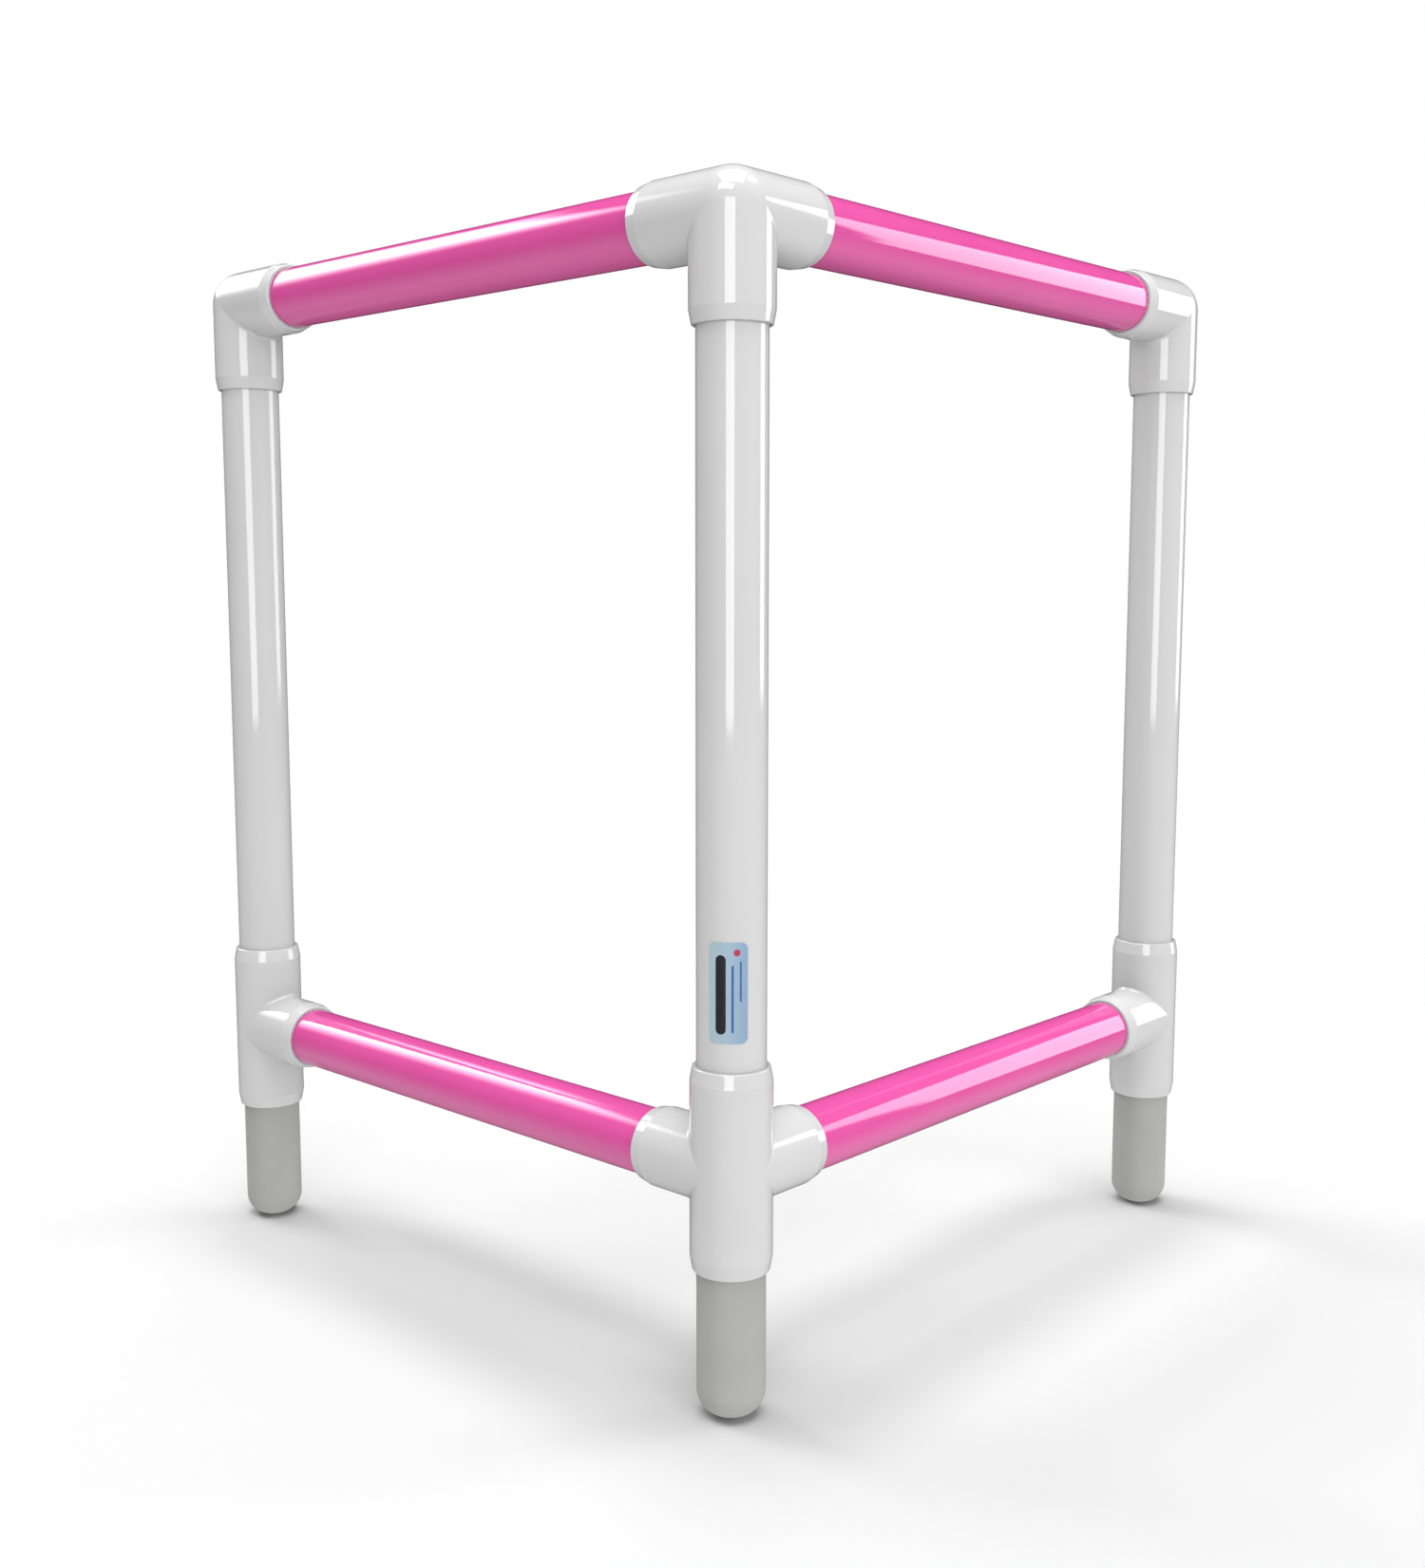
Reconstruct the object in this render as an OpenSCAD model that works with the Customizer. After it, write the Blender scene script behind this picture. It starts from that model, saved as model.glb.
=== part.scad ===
// Kip bar: a corner frame of PVC pipe and slip fittings on three rubber feet.
// Millimetres, +Z up. The origin is on the floor, under the middle of the frame's square.
// The front leg stands at (-X, -Y); the right side runs along +X and the left side along +Y.

/* [Frame] */
// Distance between two leg axes, the same on both sides
side_span = 495.2; // [320:0.2:900]
// Height of the top bars' axis above the floor
top_height = 708; // [480:0.5:1100]
// Height of the lower bars' axis above the floor
lower_height = 154; // [110:0.5:220]

/* [Pipe] */
// Outside diameter of every pipe
pipe_od = 42.16; // [33.4:0.02:48.3]
// Wall thickness of every pipe
pipe_wall = 3.56; // [2.4:0.02:4.6]

/* [Fittings] */
// Distance from a fitting's centre to each of its mouths
outlet_reach = 62.8; // [58:0.1:80]
// How far a pipe goes into a socket
socket_depth = 31.75; // [20:0.25:32]
// Wall of a fitting around its sockets
hub_wall = 4; // [3.4:0.05:6]
// Wall of a fitting at the small end of its tapered bands
taper_wall = 2.45; // [1.6:0.05:3.2]
// Length of the tapered band before each mouth
taper_length = 7.8; // [3:0.1:14]
// Bevel round each mouth, the same inwards as along the outlet
mouth_bevel = 1; // [0.4:0.1:1.2]
// Gap all round between a pipe and its socket
fit_gap = 0.05; // [0.02:0.01:0.2]

/* [Feet] */
// Radius of the rounding round a foot's bottom
foot_round = 16; // [4:0.1:18]
// Solid rubber under the foot's hollow
foot_floor = 16; // [14:0.5:30]

/* [Label] */
// Height of the sticker
label_height = 60; // [20:1:90]
// Angle that the sticker wraps round the leg, in degrees
label_arc = 64; // [20:1:120]
// Direction that the middle of the sticker faces, in degrees from +X
label_facing = -143.3; // [-180:0.1:-90]
// Distance from the tee below the sticker up to the sticker
label_gap = 18; // [5:0.5:60]
// Radius of the sticker's corners
label_corner = 4; // [1:0.5:5]
// Thickness of the sticker
label_thick = 0.2; // [0.1:0.05:0.5]

/* [Hidden] */
$fn = 96;
pipe_r = pipe_od / 2;
bore_r = pipe_r - pipe_wall;
socket_r = pipe_r + fit_gap;
hub_r = pipe_r + hub_wall;
taper_r = pipe_r + taper_wall;
mouth_r = taper_r - mouth_bevel;
bevel_start = outlet_reach - mouth_bevel;
taper_start = bevel_start - taper_length;
stop_reach = outlet_reach - socket_depth;
label_middle = lower_height + outlet_reach + label_gap + label_height / 2;
half = side_span / 2;
over = 1;
white = "whitesmoke";
pink = "hotpink";

// Rotations that turn +Z to the outlet's direction
up = [0, 0, 0];
down = [180, 0, 0];
to_right = [0, 90, 0];
to_left = [-90, 0, 0];
back_right = [0, -90, 0];
back_left = [90, 0, 0];

module at_front(height) {
    translate([-half, -half, height])
        children();
}

module at_right(height) {
    translate([half, -half, height])
        children();
}

module at_left(height) {
    translate([-half, half, height])
        children();
}

// Outside of one outlet: a round hub, its tapered band and the bevel at its mouth
module outlet_outside() {
    cylinder(r = hub_r, h = taper_start);
    translate([0, 0, taper_start])
        cylinder(r1 = hub_r, r2 = taper_r, h = taper_length);
    translate([0, 0, bevel_start])
        cylinder(r1 = taper_r, r2 = mouth_r, h = mouth_bevel);
}

// Inside of one outlet: the waterway, and the socket beyond its stop ring
module outlet_inside() {
    cylinder(r = bore_r, h = outlet_reach);
    translate([0, 0, stop_reach])
        cylinder(r = socket_r, h = socket_depth + over);
}

// A hollow fitting with one outlet for each rotation in the list
module fitting(outlets) {
    color(white)
        difference() {
            union() {
                sphere(r = hub_r);
                for (turn = outlets)
                    rotate(turn)
                        outlet_outside();
            }
            sphere(r = bore_r);
            for (turn = outlets)
                rotate(turn)
                    outlet_inside();
        }
}

// A pipe along +Z that fills the sockets of two fittings this far apart
module pipe(centre_distance) {
    length = centre_distance - 2 * stop_reach;
    translate([0, 0, stop_reach])
        difference() {
            cylinder(r = pipe_r, h = length);
            translate([0, 0, -over])
                cylinder(r = bore_r, h = length + 2 * over);
        }
}

module upright() {
    color(white)
        pipe(top_height - lower_height);
}

module bar() {
    color(pink)
        pipe(side_span);
}

// Half outline of a foot: a round-bottomed plug that fills the tee's lower socket
module foot_outline() {
    top = lower_height - stop_reach;
    difference() {
        union() {
            translate([0, foot_round])
                square([pipe_r, top - foot_round]);
            square([pipe_r - foot_round, foot_round + over]);
            intersection() {
                translate([pipe_r - foot_round, foot_round])
                    circle(r = foot_round);
                square([pipe_r, foot_round + over]);
            }
        }
        translate([-over, foot_floor])
            square([bore_r + over, top]);
    }
}

module foot() {
    color("darkgray")
        rotate_extrude()
            foot_outline();
}

// Flat outline of the sticker, standing along Y, with round corners
module label_outline() {
    width = 2 * (pipe_r + label_thick) * sin(label_arc / 2);
    inset_x = width / 2 - label_corner;
    inset_y = label_height / 2 - label_corner;
    square([width, 2 * inset_y], center = true);
    square([2 * inset_x, label_height], center = true);
    for (x = [-inset_x, inset_x], y = [-inset_y, inset_y])
        translate([x, y])
            circle(r = label_corner);
}

module corner_fitting() {
    at_front(top_height)
        fitting([down, to_right, to_left]);
}

module elbow_left() {
    at_left(top_height)
        fitting([down, back_left]);
}

module elbow_right() {
    at_right(top_height)
        fitting([down, back_right]);
}

module side_outlet_tee() {
    at_front(lower_height)
        fitting([up, down, to_right, to_left]);
}

module tee_left() {
    at_left(lower_height)
        fitting([up, down, back_left]);
}

module tee_right() {
    at_right(lower_height)
        fitting([up, down, back_right]);
}

module upright_front() {
    at_front(lower_height)
        upright();
}

module upright_left() {
    at_left(lower_height)
        upright();
}

module upright_right() {
    at_right(lower_height)
        upright();
}

module top_bar_left() {
    at_front(top_height)
        rotate(to_left)
            bar();
}

module top_bar_right() {
    at_front(top_height)
        rotate(to_right)
            bar();
}

module lower_bar_left() {
    at_front(lower_height)
        rotate(to_left)
            bar();
}

module lower_bar_right() {
    at_front(lower_height)
        rotate(to_right)
            bar();
}

module foot_front() {
    at_front(0)
        foot();
}

module foot_left() {
    at_left(0)
        foot();
}

module foot_right() {
    at_right(0)
        foot();
}

module label() {
    color("lightsteelblue")
        at_front(label_middle)
            rotate(label_facing)
                intersection() {
                    difference() {
                        cylinder(r = pipe_r + label_thick, h = label_height + 2 * over, center = true);
                        cylinder(r = pipe_r, h = label_height + 4 * over, center = true);
                    }
                    rotate([90, 0, 90])
                        linear_extrude(height = pipe_od)
                            label_outline();
                }
}

corner_fitting();
elbow_left();
elbow_right();
side_outlet_tee();
tee_left();
tee_right();
upright_front();
upright_left();
upright_right();
top_bar_left();
top_bar_right();
lower_bar_left();
lower_bar_right();
foot_front();
foot_left();
foot_right();
label();
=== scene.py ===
import math

import bmesh
import bpy
from mathutils import Matrix, Vector


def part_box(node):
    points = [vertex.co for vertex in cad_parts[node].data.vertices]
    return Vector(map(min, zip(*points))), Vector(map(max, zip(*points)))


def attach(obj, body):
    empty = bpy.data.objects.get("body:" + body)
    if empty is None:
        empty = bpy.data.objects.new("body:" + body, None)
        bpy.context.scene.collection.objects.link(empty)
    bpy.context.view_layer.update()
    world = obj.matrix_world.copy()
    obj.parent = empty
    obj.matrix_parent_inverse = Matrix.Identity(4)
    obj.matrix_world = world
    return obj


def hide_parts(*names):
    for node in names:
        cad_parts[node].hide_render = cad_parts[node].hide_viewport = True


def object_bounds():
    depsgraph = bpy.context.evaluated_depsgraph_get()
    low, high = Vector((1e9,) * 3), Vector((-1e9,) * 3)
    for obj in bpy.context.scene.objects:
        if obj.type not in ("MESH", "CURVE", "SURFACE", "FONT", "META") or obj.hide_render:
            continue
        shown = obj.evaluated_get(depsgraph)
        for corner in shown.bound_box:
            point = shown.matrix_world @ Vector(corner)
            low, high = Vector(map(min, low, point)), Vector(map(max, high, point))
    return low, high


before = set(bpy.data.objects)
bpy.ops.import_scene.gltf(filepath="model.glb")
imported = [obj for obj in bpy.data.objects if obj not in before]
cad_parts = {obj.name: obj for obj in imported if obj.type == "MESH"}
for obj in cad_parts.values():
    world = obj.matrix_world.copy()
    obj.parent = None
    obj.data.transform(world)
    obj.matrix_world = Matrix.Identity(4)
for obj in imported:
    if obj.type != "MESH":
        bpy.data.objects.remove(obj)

cad_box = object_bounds()
MM = 0.001
BODY = "root"

# ---------------------------------------------------------------- sizes from the frame

UP, DOWN = Vector((0, 0, 1)), Vector((0, 0, -1))
ALONG_RIGHT, ALONG_LEFT = Vector((1, 0, 0)), Vector((0, 1, 0))


def box_middle(node):
    low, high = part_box(node)
    return (low + high) / 2


def box_size(node):
    low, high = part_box(node)
    return high - low


PIPE_R = box_size("upright_front").x / 2
HUB_R = box_size("tee_left").x / 2
REACH = box_size("tee_left").z / 2
FRONT_LEG = box_middle("upright_front").xy
LEFT_LEG = box_middle("upright_left").xy
RIGHT_LEG = box_middle("upright_right").xy
TOP_Z = box_middle("top_bar_left").z
LOWER_Z = box_middle("lower_bar_left").z
STOP_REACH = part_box("upright_front")[0].z - LOWER_Z
# The boxes don't give the pipe's wall and the gap round it in a socket
PIPE_WALL = 3.56 * MM
BORE_R = PIPE_R - PIPE_WALL
FIT_GAP = 0.05 * MM
SOCKET_R = PIPE_R + FIT_GAP

# ---------------------------------------------------------------- mesh tools

SIDES = 96            # facets round every pipe and outlet; a multiple of 8
EIGHTH = SIDES // 8
ARC_STEP = math.radians(11)
FEWEST_ARC_STEPS = 3
WELD_DISTANCE = 0.002 * MM
SHORTEST_EDGE = 0.001 * MM


def new_mesh_object(name, points, faces):
    """A smooth-shaded object from points and faces, with doubled points welded."""
    mesh = bpy.data.meshes.new(name)
    mesh.from_pydata([tuple(p) for p in points], [], faces)
    piece = bpy.data.objects.new(name, mesh)
    bpy.context.scene.collection.objects.link(piece)
    weld_and_clean(mesh)
    mesh.polygons.foreach_set("use_smooth", [True] * len(mesh.polygons))
    even = piece.modifiers.new("even_shading", "WEIGHTED_NORMAL")
    even.mode = "FACE_AREA"
    return piece


def weld_and_clean(mesh):
    """Joins doubled points, drops faces with no area and turns every face outwards."""
    work = bmesh.new()
    work.from_mesh(mesh)
    bmesh.ops.remove_doubles(work, verts=work.verts, dist=WELD_DISTANCE)
    bmesh.ops.dissolve_degenerate(work, edges=work.edges, dist=SHORTEST_EDGE)
    bmesh.ops.recalc_face_normals(work, faces=work.faces)
    work.to_mesh(mesh)
    work.free()


class Shell:
    """Collects points and faces of one piece."""

    def __init__(self):
        self.points, self.faces = [], []

    def grid(self, rows, closed):
        """Quads over a list of equal rows of points; closed joins each row's end to its start."""
        first, width = len(self.points), len(rows[0])
        for row in rows:
            self.points.extend(row)
        steps = width if closed else width - 1
        for r in range(len(rows) - 1):
            for c in range(steps):
                a = first + r * width + c
                b = first + r * width + (c + 1) % width
                self.faces.append((a, b, b + width, a + width))


def rounded(corners):
    """A profile from corners (along, radius, rounding): each corner becomes an arc of its rounding."""
    out = []
    for i, (x, y, rounding) in enumerate(corners):
        here = Vector((x, y))
        if rounding == 0 or i in (0, len(corners) - 1):
            out.append(here)
            continue
        before = (Vector(corners[i - 1][:2]) - here).normalized()
        after = (Vector(corners[i + 1][:2]) - here).normalized()
        half_angle = before.angle(after) / 2
        centre = here + (before + after).normalized() * rounding / math.sin(half_angle)
        start = here + before * rounding / math.tan(half_angle) - centre
        end = here + after * rounding / math.tan(half_angle) - centre
        turn = start.angle_signed(end)
        steps = max(FEWEST_ARC_STEPS, math.ceil(abs(turn) / ARC_STEP))
        for k in range(steps + 1):
            out.append(centre + Matrix.Rotation(-turn * k / steps, 2) @ start)
    return out


def spin_frame(axis):
    """Two world axes square to an axis, right-handed with it."""
    side = Vector((abs(axis.y), abs(axis.z), abs(axis.x)))
    return side, axis.cross(side)


def directions_round(axis):
    """Unit vectors round an axis, one per side."""
    side, other = spin_frame(axis)
    turns = [2 * math.pi * k / SIDES for k in range(SIDES)]
    return [side * math.cos(t) + other * math.sin(t) for t in turns]


def revolve(shell, centre, axis, profile):
    """Adds a surface of revolution from a profile of (along, radius)."""
    ring = directions_round(axis)
    shell.grid([[centre + axis * p.x + n * p.y for n in ring] for p in profile], closed=True)


# ---------------------------------------------------------------- fittings

TAPER_START = REACH - 8.8 * MM
TAPER_END_R = 23.4 * MM
HUB_BEFORE_TAPER = 3 * MM
BORE_BELOW_STOP = 2 * MM
MOUTH_ROUND = 1.1 * MM
TAPER_EDGE_ROUND = 0.3 * MM
SOCKET_LIP_ROUND = 0.06 * MM
STOP_RING_ROUND = 0.2 * MM
CREASE_ROUND = 2.4 * MM
INNER_ROUND = 0.6 * MM
CREASE_STEPS = 6
HUB_ROWS = 10
BORE_ROWS = 5


def outlet_profile():
    """From the hub, over the tapered band and the mouth, down the socket to the stop ring's bore."""
    return rounded([
        (TAPER_START - HUB_BEFORE_TAPER, HUB_R, 0),
        (TAPER_START, HUB_R, TAPER_EDGE_ROUND),
        (REACH, TAPER_END_R, MOUTH_ROUND),
        (REACH, SOCKET_R, SOCKET_LIP_ROUND),
        (STOP_REACH, SOCKET_R, STOP_RING_ROUND),
        (STOP_REACH, BORE_R, STOP_RING_ROUND),
        (STOP_REACH - BORE_BELOW_STOP, BORE_R, 0),
    ])


def is_square(first, second):
    """Whether two outlets stand square to each other, and not in line."""
    return abs(first.dot(second)) < 0.5


def crease_start(normal, others, ball):
    """Where an outlet's plain skin starts, beside the fillets that a ball leaves in the creases."""
    return ball * max(0, *[normal.dot(e) for e in others])


def plain_rows(axis, others, radius, rounding, end, count):
    """Rows of an outlet's skin from its creases out to a plane square to its axis."""
    ring = directions_round(axis)
    rows = []
    for k in range(count + 1):
        share = k / count
        row = []
        for n in ring:
            start = crease_start(n, others, radius + rounding)
            row.append(axis * (start + (end - start) * share) + n * radius)
        rows.append(row)
    return rows


def arc_direction(a, b, share):
    """The direction part of the way from one unit vector to another."""
    return (a * (1 - share) + b * share).normalized()


def add_crease(shell, first, second, outlets, radius, rounding):
    """The fillet between two square outlets, as a ball of that rounding rolls along their crease."""
    third = first.cross(second)
    low = -EIGHTH if -third in outlets else -2 * EIGHTH
    high = EIGHTH if third in outlets else 2 * EIGHTH
    rows = []
    for k in range(low, high + 1):
        t = k * math.pi / 4 / EIGHTH
        ball = (radius + rounding) * (math.cos(t) * (first + second) + math.sin(t) * third)
        on_first = math.cos(t) * second + math.sin(t) * third
        on_second = math.cos(t) * first + math.sin(t) * third
        rows.append([ball - rounding * arc_direction(on_first, on_second, s / CREASE_STEPS)
                     for s in range(CREASE_STEPS + 1)])
    shell.grid(rows, closed=False)


def add_three_sided(shell, corners, steps, place):
    """A three-sided patch of a sphere as triangles whose edges match the arcs beside it."""
    index = {}
    for i in range(steps + 1):
        for j in range(steps + 1 - i):
            k = steps - i - j
            n = (corners[0] * i + corners[1] * j + corners[2] * k).normalized()
            index[i, j] = len(shell.points)
            shell.points.append(place(n))
    for i in range(steps):
        for j in range(steps - i):
            shell.faces.append((index[i, j], index[i + 1, j], index[i, j + 1]))
            if i + j < steps - 1:
                shell.faces.append((index[i + 1, j], index[i + 1, j + 1], index[i, j + 1]))


def add_triple_point(shell, trio, radius, rounding):
    """The ball's own mark where the creases of three outlets meet."""
    total = trio[0] + trio[1] + trio[2]
    ball = total * (radius + rounding) / math.sqrt(2)
    corners = [(total - axis) / math.sqrt(2) for axis in trio]
    add_three_sided(shell, corners, CREASE_STEPS, lambda n: ball - rounding * n)


def add_bend_outside(shell, first, second, radius):
    """The quarter ball on the outside of a bend of two outlets."""
    pole = first.cross(second)
    quarter = SIDES // 4
    from_pole = [math.pi * j / (2 * quarter) for j in range(2 * quarter + 1)]
    rows = []
    for k in range(quarter + 1):
        turn = math.pi / 2 * k / quarter
        out = -first * math.sin(turn) - second * math.cos(turn)
        rows.append([radius * (pole * math.cos(s) + out * math.sin(s)) for s in from_pole])
    shell.grid(rows, closed=False)


def add_corner_outside(shell, trio, radius):
    """The eighth of a ball on the outside of a three-way corner, as three four-sided patches."""
    half = EIGHTH
    ends = [-axis for axis in trio]

    def on_edge(a, b, step):
        turn = math.pi / 4 * step / half
        return a * math.cos(turn) + b * math.sin(turn)

    middle = (ends[0] + ends[1] + ends[2]).normalized()
    for i in range(3):
        a, b, c = ends[i], ends[(i + 1) % 3], ends[(i + 2) % 3]
        side_b = [on_edge(a, b, s) for s in range(half + 1)]
        side_c = [on_edge(a, c, s) for s in range(half + 1)]
        far_b = [side_b[-1].slerp(middle, s / half) for s in range(half + 1)]
        far_c = [side_c[-1].slerp(middle, s / half) for s in range(half + 1)]
        rows = []
        for u in range(half + 1):
            p = u / half
            row = []
            for w in range(half + 1):
                q = w / half
                blend = (side_c[w] * (1 - p) + far_b[w] * p + side_b[u] * (1 - q) + far_c[u] * q
                         - a * (1 - p) * (1 - q) - side_b[-1] * p * (1 - q)
                         - side_c[-1] * (1 - p) * q - middle * p * q)
                row.append(blend.normalized() * radius)
            rows.append(row)
        shell.grid(rows, closed=False)


def square_pairs(outlets):
    return [(a, b) for i, a in enumerate(outlets) for b in outlets[i + 1:] if is_square(a, b)]


def square_trios(outlets):
    return [(a, b, c) for a, b in square_pairs(outlets) for c in outlets[outlets.index(b) + 1:]
            if is_square(a, c) and is_square(b, c)]


def add_junction(shell, outlets, radius, rounding):
    """The creases and the closed outer side where the outlets' skins meet."""
    for first, second in square_pairs(outlets):
        add_crease(shell, first, second, outlets, radius, rounding)
    for trio in square_trios(outlets):
        add_triple_point(shell, trio, radius, rounding)
    if len(outlets) == 2:
        add_bend_outside(shell, outlets[0], outlets[1], radius)
    if len(outlets) == 3 and square_trios(outlets):
        add_corner_outside(shell, outlets, radius)


def make_fitting(name, centre, outlets):
    """A moulded fitting: hollow, with a socket, a stop ring and a rounded mouth on each outlet."""
    shell = Shell()
    profile = outlet_profile()
    for axis in outlets:
        others = [e for e in outlets if is_square(e, axis)]
        rows = plain_rows(axis, others, HUB_R, CREASE_ROUND, profile[0].x, HUB_ROWS)
        ring = directions_round(axis)
        rows += [[axis * p.x + n * p.y for n in ring] for p in profile[1:-1]]
        rows += reversed(plain_rows(axis, others, BORE_R, INNER_ROUND, profile[-1].x, BORE_ROWS))
        shell.grid(rows, closed=True)
    add_junction(shell, outlets, HUB_R, CREASE_ROUND)
    add_junction(shell, outlets, BORE_R, INNER_ROUND)
    points = [centre + p for p in shell.points]
    return new_mesh_object(name, points, shell.faces)


# ---------------------------------------------------------------- pipes and feet

PIPE_EDGE_ROUND = 0.35 * MM


def make_pipe(name, start, axis, length):
    """A cut length of pipe with softened ends."""
    half = length / 2
    edge = PIPE_EDGE_ROUND
    far_end = rounded([(half, PIPE_R, 0), (length, PIPE_R, edge), (length, BORE_R, edge), (half, BORE_R, 0)])
    near_end = rounded([(half, BORE_R, 0), (0, BORE_R, edge), (0, PIPE_R, edge), (half, PIPE_R, 0)])
    shell = Shell()
    revolve(shell, start, axis, far_end + near_end[1:])
    return new_mesh_object(name, shell.points, shell.faces)


FOOT_ROUND = 16 * MM
FOOT_FLOOR = 16 * MM
FOOT_HOLLOW_ROUND = 2 * MM
FOOT_LIP_ROUND = 1.0 * MM
FOOT_CAP_R = 4 * MM


def make_foot(name, leg, top):
    """A round-bottomed rubber plug, hollow above its floor."""
    profile = rounded([
        (0, FOOT_CAP_R, 0),
        (0, PIPE_R, FOOT_ROUND),
        (top, PIPE_R, FOOT_LIP_ROUND),
        (top, BORE_R, FOOT_LIP_ROUND),
        (FOOT_FLOOR, BORE_R, FOOT_HOLLOW_ROUND),
        (FOOT_FLOOR, FOOT_CAP_R, 0),
    ])
    shell = Shell()
    revolve(shell, Vector((leg.x, leg.y, 0)), UP, profile)
    inner_ring = len(shell.points) - SIDES
    shell.faces.append(tuple(range(SIDES)))
    shell.faces.append(tuple(range(inner_ring, inner_ring + SIDES)))
    return new_mesh_object(name, shell.points, shell.faces)


# ---------------------------------------------------------------- sticker

LABEL_LIFT = 0.02 * MM
LABEL_THICK = 0.2 * MM
LABEL_CORNER = 4 * MM
LABEL_ARC = math.radians(64)
LABEL_COLUMNS = 32
LABEL_CORNER_STEPS = 8
LABEL_HALF_ROWS = 4
PRINT_MAP = "print"


def label_levels(height):
    """Heights up the sticker from its middle, each with how far its round corners pull the edge in."""
    turns = [math.pi / 2 * k / LABEL_CORNER_STEPS for k in range(LABEL_CORNER_STEPS + 1)]
    corner = [(height / 2 - LABEL_CORNER * (1 - math.cos(t)), LABEL_CORNER * (1 - math.sin(t)))
              for t in turns]
    straight_top = corner[-1][0]
    straight = [(straight_top * k / LABEL_HALF_ROWS, 0) for k in range(1 - LABEL_HALF_ROWS, LABEL_HALF_ROWS)]
    return [(-z, inset) for z, inset in corner] + straight + list(reversed(corner))


def make_label(name):
    """A thin sheet wrapped on the front leg, with round corners and a map of its face."""
    low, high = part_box("label")
    middle = (low + high) / 2
    facing = math.atan2(middle.y - FRONT_LEG.y, middle.x - FRONT_LEG.x)

    def on_sheet(reach, turn, z):
        return Vector((FRONT_LEG.x + reach * math.cos(turn), FRONT_LEG.y + reach * math.sin(turn), z))

    def sheet(reach):
        rows = []
        for z, inset in label_levels(high.z - low.z):
            half = LABEL_ARC / 2 - inset / PIPE_R
            turns = [facing + half * (2 * c / LABEL_COLUMNS - 1) for c in range(LABEL_COLUMNS + 1)]
            rows.append([on_sheet(reach, turn, middle.z + z) for turn in turns])
        return rows

    def rim(rows):
        return rows[0] + [r[-1] for r in rows[1:-1]] + rows[-1][::-1] + [r[0] for r in rows[-2:0:-1]]

    front, back = sheet(PIPE_R + LABEL_THICK), sheet(PIPE_R + LABEL_LIFT)
    shell = Shell()
    shell.grid(front, closed=False)
    shell.grid(back, closed=False)
    shell.grid([rim(front), rim(back)], closed=True)
    piece = new_mesh_object(name, shell.points, shell.faces)
    layer = piece.data.uv_layers.new(name=PRINT_MAP)
    for loop in piece.data.loops:
        place = piece.data.vertices[loop.vertex_index].co
        turn = math.atan2(place.y - FRONT_LEG.y, place.x - FRONT_LEG.x) - facing
        layer.data[loop.index].uv = (turn / LABEL_ARC + 0.5, (place.z - low.z) / (high.z - low.z))
    return piece


# ---------------------------------------------------------------- materials

PLASTIC_IOR = 1.5
NOISE_LOW, NOISE_HIGH = 0.3, 0.7    # where most of a noise value lies
MIX_SHARE, MIX_FIRST, MIX_SECOND, MIX_RESULT = 0, 6, 7, 2    # the colour sockets of a Mix node
GLOSS_SPREAD = 0.035, 0.065
GLOSS = 0.05


class Recipe:
    """A node material under way: its tree, its shader and short ways to add nodes."""

    def __init__(self, name, roughness, reflectance=0.5):
        self.material = bpy.data.materials.new(name)
        self.material.use_nodes = True
        self.tree = self.material.node_tree
        self.shader = self.tree.nodes["Principled BSDF"]
        self.shader.inputs["Roughness"].default_value = roughness
        self.shader.inputs["Specular IOR Level"].default_value = reflectance
        self.shader.inputs["IOR"].default_value = PLASTIC_IOR

    def add(self, kind, **settings):
        node = self.tree.nodes.new("ShaderNode" + kind)
        for key, value in settings.items():
            setattr(node, key, value)
        return node

    def link(self, source, target):
        self.tree.links.new(source, target)

    def vector_math(self, operation, first, second=None):
        node = self.add("VectorMath", operation=operation)
        self.link(first, node.inputs[0])
        if second is not None:
            node.inputs[1].default_value = second
        return node.outputs["Value" if operation == "LENGTH" else "Vector"]

    def stretched_place(self, stretch):
        """A place on the object, squeezed by a factor along each axis; 1 is once a metre."""
        place = self.add("TexCoord").outputs["Object"]
        return self.vector_math("MULTIPLY", place, stretch)

    def noise(self, stretch, detail=2.0):
        node = self.add("TexNoise")
        node.inputs["Scale"].default_value = 1
        node.inputs["Detail"].default_value = detail
        self.link(self.stretched_place(stretch), node.inputs["Vector"])
        return node.outputs["Fac"]

    def spread(self, value, low, high):
        """Spreads a noise value over a range."""
        node = self.add("MapRange")
        node.inputs["From Min"].default_value = NOISE_LOW
        node.inputs["From Max"].default_value = NOISE_HIGH
        node.inputs["To Min"].default_value = low
        node.inputs["To Max"].default_value = high
        self.link(value, node.inputs["Value"])
        return node.outputs["Result"]

    def mix(self, share, first, second):
        """Mixes two colours, each a socket or a plain colour."""
        node = self.add("Mix", data_type="RGBA")
        self.link(share, node.inputs[MIX_SHARE])
        for value, socket in ((first, node.inputs[MIX_FIRST]), (second, node.inputs[MIX_SECOND])):
            if isinstance(value, tuple):
                socket.default_value = (*value, 1)
            else:
                self.link(value, socket)
        return node.outputs[MIX_RESULT]

    def bump(self, height, depth, strength):
        node = self.add("Bump")
        node.inputs["Distance"].default_value = depth
        node.inputs["Strength"].default_value = strength
        self.link(height, node.inputs["Height"])
        self.link(node.outputs["Normal"], self.shader.inputs["Normal"])


def even_stretch(times):
    """The same number of noise spots a metre along every axis."""
    return (times, times, times)


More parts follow.
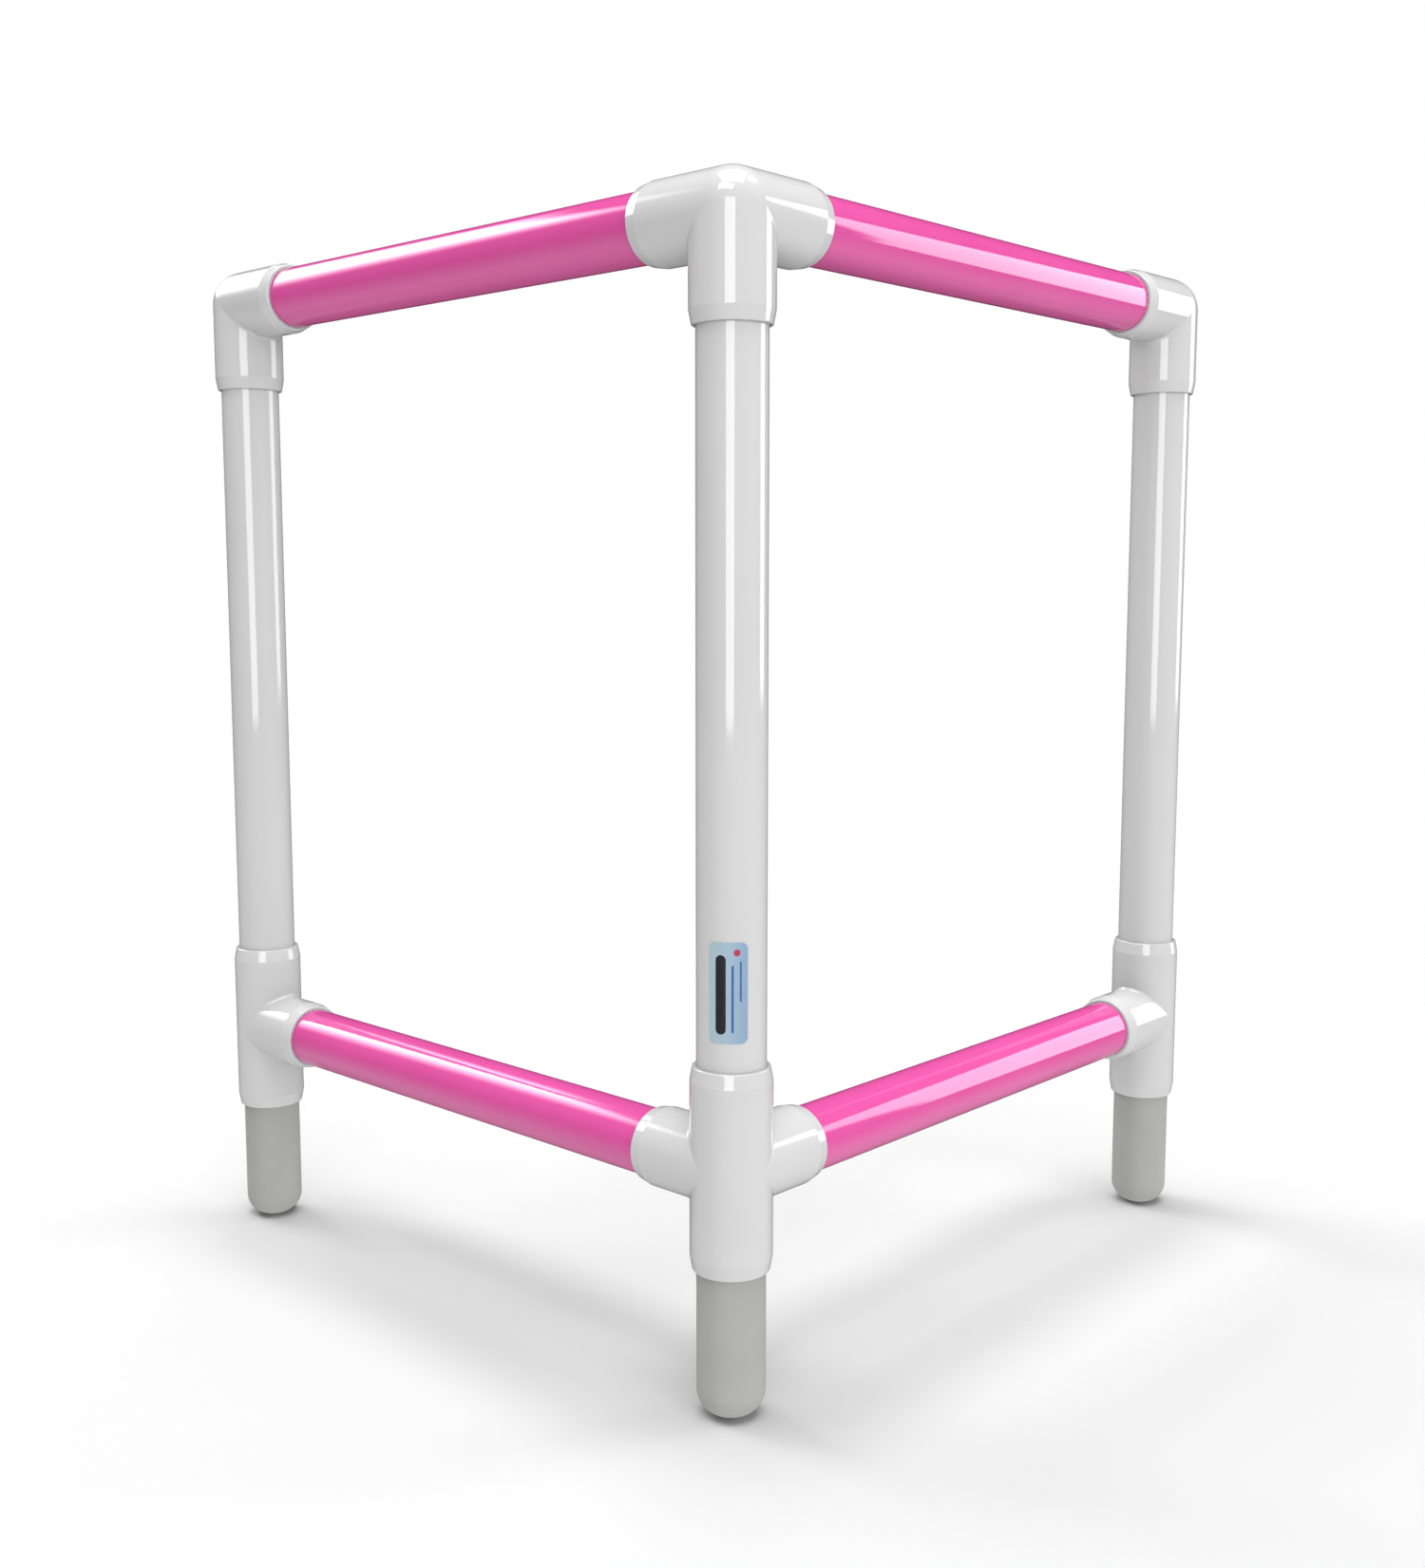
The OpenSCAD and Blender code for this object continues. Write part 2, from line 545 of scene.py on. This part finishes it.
def add_drift(recipe, dark, light, spots, detail=2.0):
    """Lets the base colour drift between two shades, with this many spots a metre."""
    drift = recipe.spread(recipe.noise(even_stretch(spots), detail), 0, 1)
    recipe.link(recipe.mix(drift, dark, light), recipe.shader.inputs["Base Color"])


def add_skin(recipe, texture, roughness_spread, depth, strength):
    """Lets one noise vary the roughness and raise the surface."""
    recipe.link(recipe.spread(texture, *roughness_spread), recipe.shader.inputs["Roughness"])
    recipe.bump(texture, depth, strength)


def drawn_plastic(name, dark, light, axis):
    """Glossy extruded pipe: its colour drifts a little, and faint draw lines run along its axis."""
    recipe = Recipe(name, roughness=GLOSS)
    add_drift(recipe, dark, light, spots=9)
    spots_across, spots_along = 900, 3
    stretch = tuple(spots_along if part else spots_across for part in axis)
    add_skin(recipe, recipe.noise(stretch), GLOSS_SPREAD, depth=0.015 * MM, strength=0.04)
    return recipe.material


def moulded_plastic(name, dark, light):
    """Glossy moulded fitting: its colour drifts a little, and its skin waves slightly."""
    recipe = Recipe(name, roughness=GLOSS)
    add_drift(recipe, dark, light, spots=14)
    waves = recipe.noise(even_stretch(260), detail=1)
    add_skin(recipe, waves, GLOSS_SPREAD, depth=0.04 * MM, strength=0.05)
    return recipe.material


def rubber(name, dark, light):
    """Matt grey rubber with a fine grain."""
    recipe = Recipe(name, roughness=0.6, reflectance=0.3)
    add_drift(recipe, dark, light, spots=30, detail=4)
    grain = recipe.noise(even_stretch(2600), detail=3)
    add_skin(recipe, grain, roughness_spread=(0.52, 0.68), depth=0.06 * MM, strength=0.25)
    return recipe.material


# The sticker's made-up print: (across, up, width, height, ink), in millimetres; across and up give
# each mark's middle, from the sticker's lower left corner
INK_DARK = (0.012, 0.012, 0.018)
INK_BLUE = (0.05, 0.16, 0.42)
INK_RED = (0.55, 0.05, 0.12)
LABEL_PRINT = (
    (7.4, 29.0, 6.2, 47.0, INK_DARK),
    (14.4, 26.5, 1.5, 40.0, INK_BLUE),
    (19.2, 37.0, 1.1, 24.0, INK_BLUE),
    (17.0, 54.0, 4.0, 4.0, INK_RED),
)
INK_EDGE = 0.08    # half the width of an ink's soft edge, in millimetres
PAPER_WARM = (0.54, 0.69, 0.75)
PAPER_COOL = (0.31, 0.46, 0.66)


def printed_sticker(name):
    """Satin vinyl with a soft blend of two pale blues and a plain print of bars and a dot."""
    recipe = Recipe(name, roughness=0.3, reflectance=0.4)
    low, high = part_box("label")
    face_size = (PIPE_R * LABEL_ARC / MM, (high.z - low.z) / MM, 0)
    face = recipe.vector_math("MULTIPLY", recipe.add("UVMap", uv_map=PRINT_MAP).outputs["UV"], face_size)
    across = recipe.add("SeparateXYZ")
    recipe.link(face, across.inputs["Vector"])
    blend = recipe.add("MapRange")
    blend.inputs["From Max"].default_value = face_size[0]
    recipe.link(across.outputs["X"], blend.inputs["Value"])
    colour = recipe.mix(blend.outputs["Result"], PAPER_WARM, PAPER_COOL)
    for x, y, width, height, ink in LABEL_PRINT:
        radius = min(width, height) / 2
        from_middle = recipe.vector_math("SUBTRACT", face, (x, y, 0))
        folded = recipe.vector_math("ABSOLUTE", from_middle)
        past_core = recipe.vector_math("SUBTRACT", folded, (width / 2 - radius, height / 2 - radius, 0))
        outside = recipe.vector_math("LENGTH", recipe.vector_math("MAXIMUM", past_core, (0, 0, 0)))
        inside = recipe.add("MapRange")
        inside.inputs["From Min"].default_value = radius + INK_EDGE
        inside.inputs["From Max"].default_value = radius - INK_EDGE
        recipe.link(outside, inside.inputs["Value"])
        colour = recipe.mix(inside.outputs["Result"], colour, ink)
    recipe.link(colour, recipe.shader.inputs["Base Color"])
    film = recipe.noise(even_stretch(500))
    add_skin(recipe, film, roughness_spread=(0.26, 0.34), depth=0.02 * MM, strength=0.08)
    return recipe.material


WHITE_DARK, WHITE_LIGHT = (0.775, 0.775, 0.775), (0.80, 0.80, 0.80)
PINK_DARK, PINK_LIGHT = (0.88, 0.112, 0.43), (0.92, 0.125, 0.46)
RUBBER_DARK, RUBBER_LIGHT = (0.48, 0.48, 0.47), (0.51, 0.51, 0.50)

fitting_plastic = moulded_plastic("white_moulding", WHITE_DARK, WHITE_LIGHT)
foot_rubber = rubber("grey_rubber", RUBBER_DARK, RUBBER_LIGHT)
sticker_vinyl = printed_sticker("sticker_vinyl")
white_pipe = drawn_plastic("white_pipe_z", WHITE_DARK, WHITE_LIGHT, UP)
pink_pipe_right = drawn_plastic("pink_pipe_x", PINK_DARK, PINK_LIGHT, ALONG_RIGHT)
pink_pipe_left = drawn_plastic("pink_pipe_y", PINK_DARK, PINK_LIGHT, ALONG_LEFT)

# ---------------------------------------------------------------- the assembly


def settle(piece, node, material):
    """Puts a piece in place of its CAD node."""
    piece.data.materials.append(material)
    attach(piece, BODY)
    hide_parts(node)


def on_leg(leg, height):
    return Vector((leg.x, leg.y, height))


FITTINGS = {
    "corner_fitting": (on_leg(FRONT_LEG, TOP_Z), [DOWN, ALONG_RIGHT, ALONG_LEFT]),
    "elbow_left": (on_leg(LEFT_LEG, TOP_Z), [DOWN, -ALONG_LEFT]),
    "elbow_right": (on_leg(RIGHT_LEG, TOP_Z), [DOWN, -ALONG_RIGHT]),
    "side_outlet_tee": (on_leg(FRONT_LEG, LOWER_Z), [UP, DOWN, ALONG_RIGHT, ALONG_LEFT]),
    "tee_left": (on_leg(LEFT_LEG, LOWER_Z), [UP, DOWN, -ALONG_LEFT]),
    "tee_right": (on_leg(RIGHT_LEG, LOWER_Z), [UP, DOWN, -ALONG_RIGHT]),
}
for node, (centre, outlets) in FITTINGS.items():
    settle(make_fitting(node + "_shell", centre, outlets), node, fitting_plastic)

PIPES = {
    "upright_front": (UP, "white_pipe", white_pipe),
    "upright_left": (UP, "white_pipe", white_pipe),
    "upright_right": (UP, "white_pipe", white_pipe),
    "top_bar_left": (ALONG_LEFT, "pink_pipe", pink_pipe_left),
    "lower_bar_left": (ALONG_LEFT, "pink_pipe", pink_pipe_left),
    "top_bar_right": (ALONG_RIGHT, "pink_pipe", pink_pipe_right),
    "lower_bar_right": (ALONG_RIGHT, "pink_pipe", pink_pipe_right),
}
for node, (axis, slot, material) in PIPES.items():
    length = box_size(node).dot(axis)
    start = box_middle(node) - axis * length / 2
    settle(make_pipe(node + "_tube", start, axis, length), node, material)

for node, leg in (("foot_front", FRONT_LEG), ("foot_left", LEFT_LEG), ("foot_right", RIGHT_LEG)):
    settle(make_foot(node + "_plug", leg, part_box(node)[1].z), node, foot_rubber)

settle(make_label("sticker"), "label", sticker_vinyl)

# ---------------------------------------------------------------- floor and studio

FLOOR_R = 2.6
FLOOR_SIDES = 96
FLOOR_GLOW_START, FLOOR_GLOW_END = 0.75, 1.6
FLOOR_TONE = 0.8
GROUND = (cad_box[0][0] + cad_box[1][0]) / 2, (cad_box[0][1] + cad_box[1][1]) / 2


def make_floor():
    """A pale disc that fades to plain white away from the object."""
    turns = [2 * math.pi * k / FLOOR_SIDES for k in range(FLOOR_SIDES)]
    rim = [(GROUND[0] + FLOOR_R * math.cos(t), GROUND[1] + FLOOR_R * math.sin(t), 0) for t in turns]
    mesh = bpy.data.meshes.new("studio_floor")
    mesh.from_pydata(rim, [], [tuple(range(FLOOR_SIDES))])
    floor = bpy.data.objects.new("studio_floor", mesh)
    bpy.context.scene.collection.objects.link(floor)
    recipe = Recipe("floor_white", roughness=0.9, reflectance=0)
    recipe.shader.inputs["Base Color"].default_value = (FLOOR_TONE, FLOOR_TONE, FLOOR_TONE, 1)
    glow = recipe.add("Emission")
    both = recipe.add("MixShader")
    distance = recipe.vector_math("LENGTH", recipe.add("TexCoord").outputs["Object"])
    fade = recipe.add("MapRange", interpolation_type="SMOOTHSTEP")
    fade.inputs["From Min"].default_value = FLOOR_GLOW_START
    fade.inputs["From Max"].default_value = FLOOR_GLOW_END
    recipe.link(distance, fade.inputs["Value"])
    recipe.link(fade.outputs["Result"], both.inputs["Fac"])
    recipe.link(recipe.shader.outputs["BSDF"], both.inputs[1])
    recipe.link(glow.outputs["Emission"], both.inputs[2])
    recipe.link(both.outputs["Shader"], recipe.tree.nodes["Material Output"].inputs["Surface"])
    mesh.materials.append(recipe.material)
    return floor


floor = make_floor()
floor.visible_glossy = floor.visible_diffuse = floor.visible_shadow = False

# Directions in the studio are (round, up) in degrees. Round is 0 along the square's diagonal, from the
# front leg away from the camera, and grows to the right.
DIAGONAL = 45
LIGHT_DISTANCE = 7.0
STUDIO_MIDDLE_Z = 0.4


def studio_direction(round_degrees, up_degrees):
    """A unit vector from the object to a place in the studio."""
    turn, rise = math.radians(DIAGONAL - round_degrees), math.radians(up_degrees)
    return Vector((math.cos(turn) * math.cos(rise), math.sin(turn) * math.cos(rise), math.sin(rise)))


def facing_the_object(around, rise):
    """Where a panel or lamp stands, and how it turns to face the object."""
    direction = studio_direction(around, rise)
    place = Vector((GROUND[0], GROUND[1], STUDIO_MIDDLE_Z)) + direction * LIGHT_DISTANCE
    return place, (-direction).to_track_quat("-Z", "Y").to_euler()


def half_across(degrees):
    """Half the length that covers this angle at the lights' distance."""
    return LIGHT_DISTANCE * math.tan(math.radians(degrees / 2))


def add_reflected_box(name, around, rise, width, height, brightness, soft_sides, soft_ends):
    """A glowing panel that only shows in reflections.

    Its edges fade over the shares soft_sides and soft_ends of its half width and half height.
    """
    mesh = bpy.data.meshes.new(name)
    mesh.from_pydata([(-1, -1, 0), (1, -1, 0), (1, 1, 0), (-1, 1, 0)], [], [(0, 1, 2, 3)])
    panel = bpy.data.objects.new(name, mesh)
    bpy.context.scene.collection.objects.link(panel)
    panel.location, panel.rotation_euler = facing_the_object(around, rise)
    panel.scale = (half_across(width), half_across(height), 1)
    recipe = Recipe(name, roughness=1)
    sides = recipe.add("SeparateXYZ")
    place = recipe.add("TexCoord").outputs["Object"]
    recipe.link(recipe.vector_math("ABSOLUTE", place), sides.inputs["Vector"])
    fades = []
    for side, softness in (("X", soft_sides), ("Y", soft_ends)):
        fade = recipe.add("MapRange", interpolation_type="SMOOTHSTEP")
        fade.inputs["From Min"].default_value = 1
        fade.inputs["From Max"].default_value = 1 - softness
        recipe.link(sides.outputs[side], fade.inputs["Value"])
        fades.append(fade.outputs["Result"])
    both = recipe.add("Math", operation="MULTIPLY")
    recipe.link(fades[0], both.inputs[0])
    recipe.link(fades[1], both.inputs[1])
    power = recipe.add("Math", operation="MULTIPLY")
    power.inputs[1].default_value = brightness
    recipe.link(both.outputs["Value"], power.inputs[0])
    glow = recipe.add("Emission")
    recipe.link(power.outputs["Value"], glow.inputs["Strength"])
    recipe.link(glow.outputs["Emission"], recipe.tree.nodes["Material Output"].inputs["Surface"])
    recipe.material.cycles.emission_sampling = "NONE"
    mesh.materials.append(recipe.material)
    panel.visible_camera = panel.visible_diffuse = panel.visible_shadow = False


def add_lamp(name, around, rise, width, height, brightness):
    """A lamp that lights surfaces without showing in them."""
    lamp = bpy.data.lights.new(name, "AREA")
    lamp.shape = "RECTANGLE"
    lamp.size, lamp.size_y = 2 * half_across(width), 2 * half_across(height)
    lamp.energy = math.pi * lamp.size * lamp.size_y * brightness
    box = bpy.data.objects.new(name, lamp)
    bpy.context.scene.collection.objects.link(box)
    box.location, box.rotation_euler = facing_the_object(around, rise)
    box.visible_camera = box.visible_glossy = False


# Panels seen in reflections: name, round, up, width, height, brightness, soft sides, soft ends
REFLECTED = (
    ("panel_behind_camera", -171.5, 10.0, 25.5, 30.0, 6.2, 0.06, 0.06),
    ("panel_right", 75.5, 12.0, 23.0, 33.0, 5.4, 0.12, 0.12),
    ("panel_left", -53.0, 32.5, 47.0, 29.0, 13.0, 1.0, 0.3),
    ("panel_overhead", 180.0, 85.0, 42.0, 44.0, 8.0, 0.08, 0.08),
    ("panel_high_left", -155.0, 52.0, 34.0, 16.0, 8.0, 0.2, 0.2),
    ("panel_high_right", 88.0, 59.0, 18.0, 14.0, 7.0, 0.15, 0.15),
)
for settings in REFLECTED:
    add_reflected_box(*settings)
# Lamps that do the lighting: name, round, up, width, height, brightness
LAMPS = (
    ("lamp_overhead", 0.0, 90.0, 56.0, 56.0, 3.4),
    ("lamp_left", -53.0, 32.0, 30.0, 26.0, 5.6),
    ("lamp_behind_camera", -171.5, 10.0, 25.0, 28.0, 3.1),
    ("lamp_right", 75.0, 12.0, 20.0, 24.0, 4.2),
    ("lamp_front_right", 150.0, 20.0, 50.0, 40.0, 1.8),
)
for settings in LAMPS:
    add_lamp(*settings)

FILL_FROM_ABOVE = 0.06
FILL_FROM_BELOW = 0.6
FLOOR_GLEAM = 1.0
GLEAM_FAR_SIDE = 0.2
# Where the world's light changes: the first two are heights of a unit direction, and the last is the
# cosine of its angle from straight away from the camera
HORIZON_BLEND = 0.05
GLEAM_START, GLEAM_FULL = -0.03, -0.5
FAR_SIDE_START, FAR_SIDE_FULL = 0.3, 0.8


def make_world():
    """Plain white to the camera, and an even fill that is stronger from below.

    Reflections see a pale floor below the horizon, which is darker on the side away from the camera.
    """
    world = bpy.data.worlds.new("studio")
    bpy.context.scene.world = world
    world.use_nodes = True
    tree = world.node_tree
    background = tree.nodes["Background"]
    background.inputs["Color"].default_value = (1, 1, 1, 1)
    direction = tree.nodes.new("ShaderNodeTexCoord").outputs["Generated"]

    def ramp(value, start=0, end=1, first=0, last=1):
        """Maps start..end to first..last; a first or last that is a socket is linked."""
        node = tree.nodes.new("ShaderNodeMapRange")
        node.inputs["From Min"].default_value = start
        node.inputs["From Max"].default_value = end
        for name, target in (("To Min", first), ("To Max", last)):
            if isinstance(target, bpy.types.NodeSocket):
                tree.links.new(target, node.inputs[name])
            else:
                node.inputs[name].default_value = target
        tree.links.new(value, node.inputs["Value"])
        return node.outputs["Result"]

    split = tree.nodes.new("ShaderNodeSeparateXYZ")
    tree.links.new(direction, split.inputs["Vector"])
    height = split.outputs["Z"]
    away = tree.nodes.new("ShaderNodeVectorMath")
    away.operation = "DOT_PRODUCT"
    away.inputs[1].default_value = studio_direction(0, 0)
    tree.links.new(direction, away.inputs[0])
    path = tree.nodes.new("ShaderNodeLightPath")

    fill = ramp(height, -HORIZON_BLEND, HORIZON_BLEND, FILL_FROM_BELOW, FILL_FROM_ABOVE)
    far_side = ramp(away.outputs["Value"], FAR_SIDE_START, FAR_SIDE_FULL, FLOOR_GLEAM, GLEAM_FAR_SIDE)
    gleam = ramp(height, GLEAM_START, GLEAM_FULL, 0, far_side)
    unseen = ramp(path.outputs["Is Glossy Ray"], first=fill, last=gleam)
    strength = ramp(path.outputs["Is Camera Ray"], first=unseen, last=1)
    tree.links.new(strength, background.inputs["Strength"])


make_world()
bpy.context.scene.cycles.diffuse_bounces = 0    # keeps the bars' pink off the floor

# ---------------------------------------------------------------- camera

CAMERA_HEIGHT = 0.5012
CAMERA_DISTANCE = 0.9919
CAMERA_BEARING = math.radians(-137.77)
VIEW_BEARING = math.radians(42.88)
VIEW_PITCH = math.radians(-6.711)
LENS = 39.344


def make_camera():
    """The viewpoint: its bearing is seen from the front leg's axis."""
    data = bpy.data.cameras.new("camera")
    data.lens = LENS
    camera = bpy.data.objects.new("camera", data)
    bpy.context.scene.collection.objects.link(camera)
    camera.location = (
        FRONT_LEG.x + CAMERA_DISTANCE * math.cos(CAMERA_BEARING),
        FRONT_LEG.y + CAMERA_DISTANCE * math.sin(CAMERA_BEARING),
        CAMERA_HEIGHT,
    )
    camera.rotation_euler = (math.pi / 2 + VIEW_PITCH, 0, VIEW_BEARING - math.pi / 2)
    bpy.context.scene.camera = camera


make_camera()
bpy.context.scene.view_settings.view_transform = "Standard"
